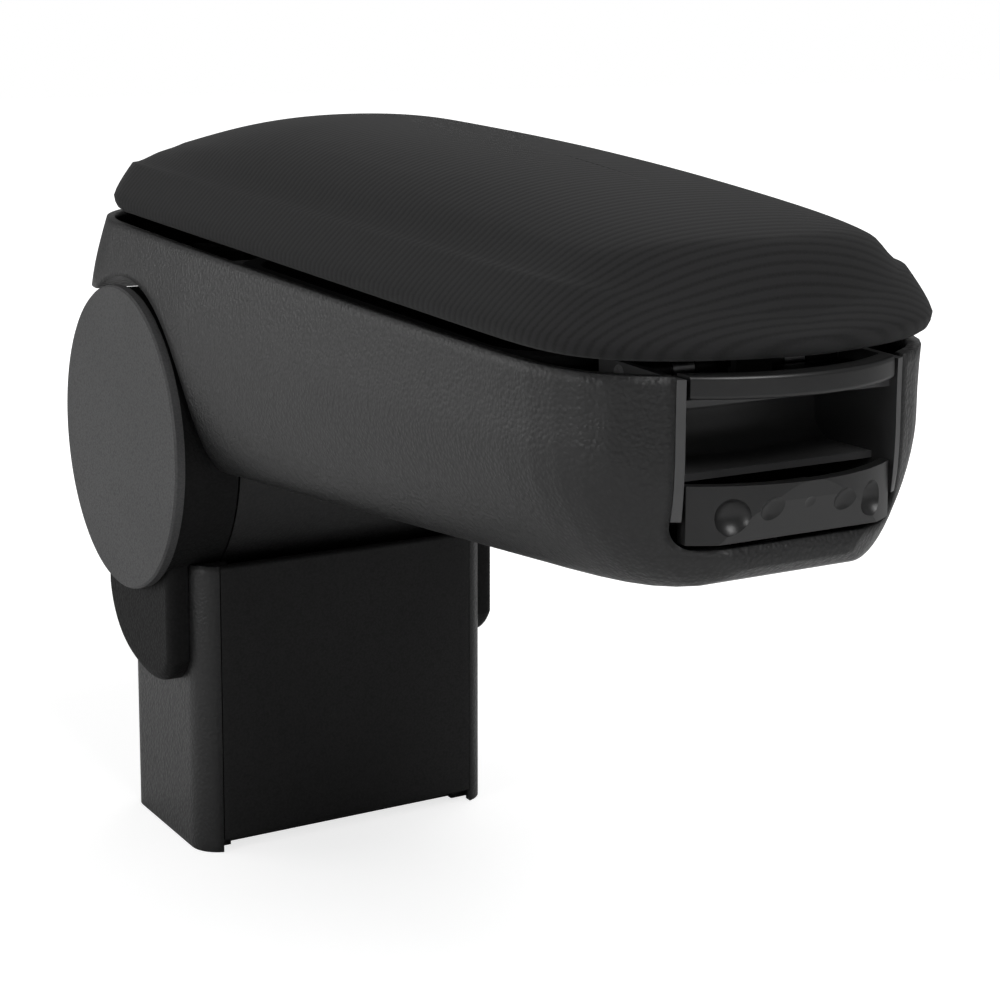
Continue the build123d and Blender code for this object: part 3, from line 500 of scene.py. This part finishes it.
def side_ring(points, outward, inset, height_at):
    """A ring of the foot or the band, set in from the plan, at a height over the lid's underside."""
    ring = []
    for point, out in zip(points, outward):
        flat = point - out * inset
        ring.append(Vector((flat.x, flat.y, rim(flat.x) + HALF_GAP + height_at(point.x))))
    return ring


def crown_ring(points, outward, reach):
    """A ring of the crown, from the crease at reach 1 to the spine at reach 0."""
    ring = []
    for point, out in zip(points, outward):
        crease = point - out * BAND_LEAN
        spine = Vector((min(max(point.x, LID_REAR + LID_REAR_ROUND), SPINE_FRONT), 0.0))
        flat = spine.lerp(crease, reach)
        apart = min(1.0, (flat - crease).length / CREASE_BLEND)
        share = apart * (2 - apart)
        low = band_height(point.x)
        full = crown_height(flat.x, flat.y) - low
        height = low + (full - SLACK * min(1.0, full / FREE_HEIGHT)) * share
        ring.append(Vector((flat.x, flat.y, rim(flat.x) + HALF_GAP + height)))
    return ring


def lid_rings():
    """All rings of the lid, from its underside up to the spine of the crown."""
    points, outward = lid_plan()
    rings = []
    for inset, level in FOOT_RINGS:
        rings.append(side_ring(points, outward, inset, lambda x, level=level: level))
    for share in BAND_LEVELS:
        inset = BAND_LEAN * share ** BAND_LEAN_POWER
        rings.append(side_ring(points, outward, inset,
                               lambda x, share=share: FOOT + (band_height(x) - FOOT) * share))
    for step in range(CROWN_RINGS):
        rings.append(crown_ring(points, outward, (1 - step / CROWN_RINGS) ** CROWN_CROWDING))
    return rings


def lid_mesh():
    """The rings skinned with faces, closed below and above."""
    mesh = bmesh.new()
    grid = []
    for ring in lid_rings():
        grid.append([mesh.verts.new(point * MM) for point in ring])
    for low, high in zip(grid, grid[1:]):
        for k in range(PLAN_POINTS):
            after = (k + 1) % PLAN_POINTS
            mesh.faces.new((low[k], low[after], high[after], high[k]))
    mesh.faces.new(list(reversed(grid[0])))
    mesh.faces.new(grid[-1])
    bmesh.ops.remove_doubles(mesh, verts=mesh.verts, dist=WELD * MM)
    bmesh.ops.recalc_face_normals(mesh, faces=mesh.faces)
    data = bpy.data.meshes.new("padded_lid")
    mesh.to_mesh(data)
    mesh.free()
    for face in data.polygons:
        face.use_smooth = True
    return data


def build_lid():
    """The padded lid, which takes the place of the frame's lid_cushion."""
    data = lid_mesh()
    lid = bpy.data.objects.new("padded_lid", data)
    bpy.context.scene.collection.objects.link(lid)
    data.materials.append(CLOTH)
    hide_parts("lid_cushion")
    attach(lid, "lid")
    return lid


# The lid's stuffing, by a cloth simulation. Millimetres.

PAD_VOXEL = 5.0
STUFFING_PRESSURE = 0.5
STUFFING_STEPS = 20
MOST_SWELL = 2.2
NEIGHBOURS = 10
NEIGHBOUR_BLUR = 0.3


def swollen_pad(lid):
    """Points of an evenly meshed copy of the lid, and how far pressure moves each as cloth."""
    scene = bpy.context.scene
    pad = bpy.data.objects.new("padding", lid.data.copy())
    scene.collection.objects.link(pad)
    even = pad.modifiers.new("even mesh", "REMESH")
    even.mode = "VOXEL"
    even.voxel_size = PAD_VOXEL * MM
    shaped = pad.evaluated_get(bpy.context.evaluated_depsgraph_get())
    pad.data = bpy.data.meshes.new_from_object(shaped)
    pad.modifiers.clear()
    before = [vertex.co.copy() for vertex in pad.data.vertices]
    padding = pad.modifiers.new("padding", "CLOTH")
    padding.settings.use_pressure = True
    padding.settings.uniform_pressure_force = STUFFING_PRESSURE
    padding.settings.effector_weights.gravity = 0.0
    for step in range(1, STUFFING_STEPS + 1):
        scene.frame_set(step)
    swollen = pad.evaluated_get(bpy.context.evaluated_depsgraph_get())
    shifts = [vertex.co - start for vertex, start in zip(swollen.data.vertices, before)]
    scene.frame_set(1)
    bpy.data.objects.remove(pad)
    return before, shifts


def stuff_lid(lid):
    """Move the lid's crown as the pad swells. The foot and the band stay sewn to the pan."""
    before, shifts = swollen_pad(lid)
    near = KDTree(len(before))
    for index, place in enumerate(before):
        near.insert(place, index)
    near.balance()
    for vertex in lid.data.vertices:
        x = vertex.co.x / MM
        over = (vertex.co.z / MM - rim(x) - HALF_GAP - band_height(x)) / FREE_HEIGHT
        if over <= 0:
            continue
        total = Vector((0.0, 0.0, 0.0))
        weights = 0.0
        for place, index, apart in near.find_n(vertex.co, NEIGHBOURS):
            weight = 1 / (apart + PAD_VOXEL * MM * NEIGHBOUR_BLUR) ** 2
            total += shifts[index] * weight
            weights += weight
        shift = total / weights * min(1.0, over)
        if shift.length > MOST_SWELL * MM:
            shift *= MOST_SWELL * MM / shift.length
        vertex.co += shift


# Hinge pockets in the lid's underside, a little wider than in the frame's lid_cushion. Millimetres.

HINGE_X = -51.0
HINGE_RISE = 5.0
KNUCKLE_ROUND = 3.6
POCKET_ROUND = 4.9
POCKET_REACH = 17.0
POCKET_FRONT = 15.0
POCKET_DEPTH = 30.0
POCKET_SIDES = 32
EAR_AT = 8.0
EAR_SLOT_HALF = 2.8
SLOT_RUNOUT = 5.0


def box_tool(low, high):
    """A box between two corners."""
    size = Vector(high) - Vector(low)
    mesh = bmesh.new()
    bmesh.ops.create_cube(mesh, size=1.0)
    bmesh.ops.scale(mesh, verts=mesh.verts, vec=size * MM)
    bmesh.ops.translate(mesh, verts=mesh.verts, vec=(Vector(low) + size / 2) * MM)
    return mesh


def knuckle_tool(axis_z):
    """A rod along the hinge's axis."""
    mesh = bmesh.new()
    bmesh.ops.create_cone(mesh, cap_ends=True, segments=POCKET_SIDES, radius1=POCKET_ROUND * MM,
                          radius2=POCKET_ROUND * MM, depth=2 * POCKET_REACH * MM)
    bmesh.ops.rotate(mesh, verts=mesh.verts, matrix=Matrix.Rotation(math.pi / 2, 3, "X"))
    bmesh.ops.translate(mesh, verts=mesh.verts, vec=Vector((HINGE_X, 0, axis_z)) * MM)
    return mesh


def cut_away(lid, mesh):
    """Take a tool's form from the lid, with the result applied."""
    data = bpy.data.meshes.new("pocket tool")
    mesh.to_mesh(data)
    mesh.free()
    tool = bpy.data.objects.new("pocket tool", data)
    bpy.context.scene.collection.objects.link(tool)
    cut = lid.modifiers.new("pocket", "BOOLEAN")
    cut.operation = "DIFFERENCE"
    cut.object = tool
    shaped = lid.evaluated_get(bpy.context.evaluated_depsgraph_get())
    cleared = bpy.data.meshes.new_from_object(shaped)
    lid.modifiers.clear()
    lid.data = cleared
    bpy.data.objects.remove(tool)


def cut_pockets(lid):
    """Make room in the cushion for the hinge's knuckles and ears."""
    axis_z = rim(HINGE_X) + HINGE_RISE
    floor_z = axis_z - POCKET_DEPTH
    cut_away(lid, box_tool((HINGE_X - POCKET_ROUND, -POCKET_REACH, floor_z),
                           (HINGE_X + POCKET_FRONT, POCKET_REACH, axis_z)))
    for side in (-1, 1):
        middle = side * EAR_AT
        cut_away(lid, box_tool((LID_REAR - SLOT_RUNOUT, middle - EAR_SLOT_HALF, floor_z),
                               (HINGE_X, middle + EAR_SLOT_HALF, axis_z + KNUCKLE_ROUND)))
    cut_away(lid, knuckle_tool(axis_z))


# Studio: white floor and sky, soft light from the left, from above and from the front. Metres.

FLOOR_HALF = 6.0
FLOOR_DROP = 0.2 * MM
FLOOR_TONE = 0.8
FLOOR_ROUGHNESS = 0.9
FLOOR_GLOW = 2.1
# Share of the floor's glow near the column and far from it; the lower share near is painted shade
# round the base.
FLOOR_WHITE_NEAR = 0.36
FLOOR_WHITE_FAR = 0.56
SHADOW_START = 0.14
SHADOW_END = 0.6
SKY_TONE = 0.9
SKY_LIGHT = 0.24
SKY_WHITE = 1.0


def floor_material():
    """A pale floor, which glows to the camera only. The glow is weaker near the column: painted shade
    round its base, which also leaves its shadow there.
    """
    material = bpy.data.materials.new("studio floor")
    material.use_nodes = True
    tree = material.node_tree
    shader = tree.nodes["Principled BSDF"]
    shader.inputs["Base Color"].default_value = (FLOOR_TONE, FLOOR_TONE, FLOOR_TONE, 1)
    shader.inputs["Roughness"].default_value = FLOOR_ROUGHNESS
    shader.inputs["Specular IOR Level"].default_value = 0.0
    glow = add(tree, "ShaderNodeEmission", Strength=FLOOR_GLOW)
    path = tree.nodes.new("ShaderNodeLightPath")
    place = tree.nodes.new("ShaderNodeTexCoord")
    away = add(tree, "ShaderNodeVectorMath", operation="LENGTH")
    join(tree, place, "Object", away, 0)
    white = add(tree, "ShaderNodeMapRange")
    white.inputs["From Min"].default_value = SHADOW_START
    white.inputs["From Max"].default_value = SHADOW_END
    white.inputs["To Min"].default_value = FLOOR_WHITE_NEAR
    white.inputs["To Max"].default_value = FLOOR_WHITE_FAR
    join(tree, away, "Value", white, "Value")
    share = add(tree, "ShaderNodeMath", operation="MULTIPLY")
    join(tree, white, "Result", share, 1)
    join(tree, path, "Is Camera Ray", share, 0)
    mix = tree.nodes.new("ShaderNodeMixShader")
    join(tree, share, "Value", mix, "Fac")
    tree.links.new(shader.outputs[0], mix.inputs[1])
    tree.links.new(glow.outputs[0], mix.inputs[2])
    tree.links.new(mix.outputs[0], tree.nodes["Material Output"].inputs["Surface"])
    return material


def build_floor():
    """A square floor just under the column's base face."""
    data = bpy.data.meshes.new("studio_floor")
    turns = ((-1, -1), (1, -1), (1, 1), (-1, 1))
    corners = [(x * FLOOR_HALF, y * FLOOR_HALF, -FLOOR_DROP) for x, y in turns]
    data.from_pydata(corners, [], [(0, 1, 2, 3)])
    floor = bpy.data.objects.new("studio_floor", data)
    bpy.context.scene.collection.objects.link(floor)
    data.materials.append(floor_material())


def build_sky():
    """White behind the object, and a dim even light on it."""
    world = bpy.data.worlds.new("studio sky")
    bpy.context.scene.world = world
    world.use_nodes = True
    tree = world.node_tree
    tree.nodes.clear()
    path = tree.nodes.new("ShaderNodeLightPath")
    seen = add(tree, "ShaderNodeMath", operation="MAXIMUM")
    join(tree, path, "Is Camera Ray", seen, 0)
    join(tree, path, "Is Transmission Ray", seen, 1)
    dim = add(tree, "ShaderNodeBackground")
    dim.inputs["Color"].default_value = (SKY_TONE, SKY_TONE, SKY_TONE, 1)
    dim.inputs["Strength"].default_value = SKY_LIGHT
    bright = add(tree, "ShaderNodeBackground")
    bright.inputs["Color"].default_value = (1, 1, 1, 1)
    bright.inputs["Strength"].default_value = SKY_WHITE
    mix = tree.nodes.new("ShaderNodeMixShader")
    out = tree.nodes.new("ShaderNodeOutputWorld")
    join(tree, seen, "Value", mix, "Fac")
    tree.links.new(dim.outputs[0], mix.inputs[1])
    tree.links.new(bright.outputs[0], mix.inputs[2])
    tree.links.new(mix.outputs[0], out.inputs[0])


def soft_box(name, place, aim, size, power):
    """A rectangular lamp, aimed at a point of the object. Power in watts."""
    light = bpy.data.lights.new(name, "AREA")
    light.shape = "RECTANGLE"
    light.size = size[0]
    light.size_y = size[1]
    light.energy = power
    lamp = bpy.data.objects.new(name, light)
    bpy.context.scene.collection.objects.link(lamp)
    lamp.location = place
    lamp.rotation_euler = (Vector(aim) - Vector(place)).to_track_quat("-Z", "Y").to_euler()


# Camera: the photograph's viewpoint, found from the column's edges and the hub's rim. Metres, and
# millimetres for the lens and its sensor.

CAMERA_PLACE = Vector((0.6134, -0.2896, 0.2525))
CAMERA_YAW = math.radians(30.519)
CAMERA_PITCH = math.radians(7.993)
CAMERA_ROLL = math.radians(0.047)
CAMERA_LENS = 77.35
CAMERA_SENSOR = 36.0
CAMERA_NEAR = 0.01
CAMERA_SHIFT = -0.18


def build_camera():
    """The camera at the photograph's place, looking along its yaw and pitch."""
    data = bpy.data.cameras.new("photo camera")
    camera = bpy.data.objects.new("photo camera", data)
    bpy.context.scene.collection.objects.link(camera)
    look = Vector((-math.cos(CAMERA_YAW) * math.cos(CAMERA_PITCH),
                   math.sin(CAMERA_YAW) * math.cos(CAMERA_PITCH), -math.sin(CAMERA_PITCH)))
    level = look.cross(Vector((0, 0, 1))).normalized()
    upright = level.cross(look)
    right = level * math.cos(CAMERA_ROLL) + upright * math.sin(CAMERA_ROLL)
    up = upright * math.cos(CAMERA_ROLL) - level * math.sin(CAMERA_ROLL)
    turn = Matrix((right, up, -look)).transposed()
    camera.matrix_world = Matrix.Translation(CAMERA_PLACE) @ turn.to_4x4()
    data.sensor_width = CAMERA_SENSOR
    data.lens = CAMERA_LENS
    data.shift_y = CAMERA_SHIFT
    data.clip_start = CAMERA_NEAR
    bpy.context.scene.camera = camera


# The scene

finish_nodes()
padded_lid = build_lid()
stuff_lid(padded_lid)
cut_pockets(padded_lid)
build_floor()
build_sky()
soft_box("left key", (-0.80, -1.10, 0.45), (-0.06, 0, 0.12), (0.8, 0.8), 5.0)
soft_box("top wash", (-0.6, 0.9, 1.3), (0.08, 0, 0.15), (1.0, 1.0), 5.4)
soft_box("front fill", (1.05, 0.05, 1.15), (0.2, 0, 0.18), (0.7, 0.7), 10.5)
soft_box("corner glint", (0.27, -1.12, 0.37), (0.22, -0.04, 0.165), (0.15, 0.3), 2.6)
build_camera()
bpy.context.scene.view_settings.view_transform = "Standard"
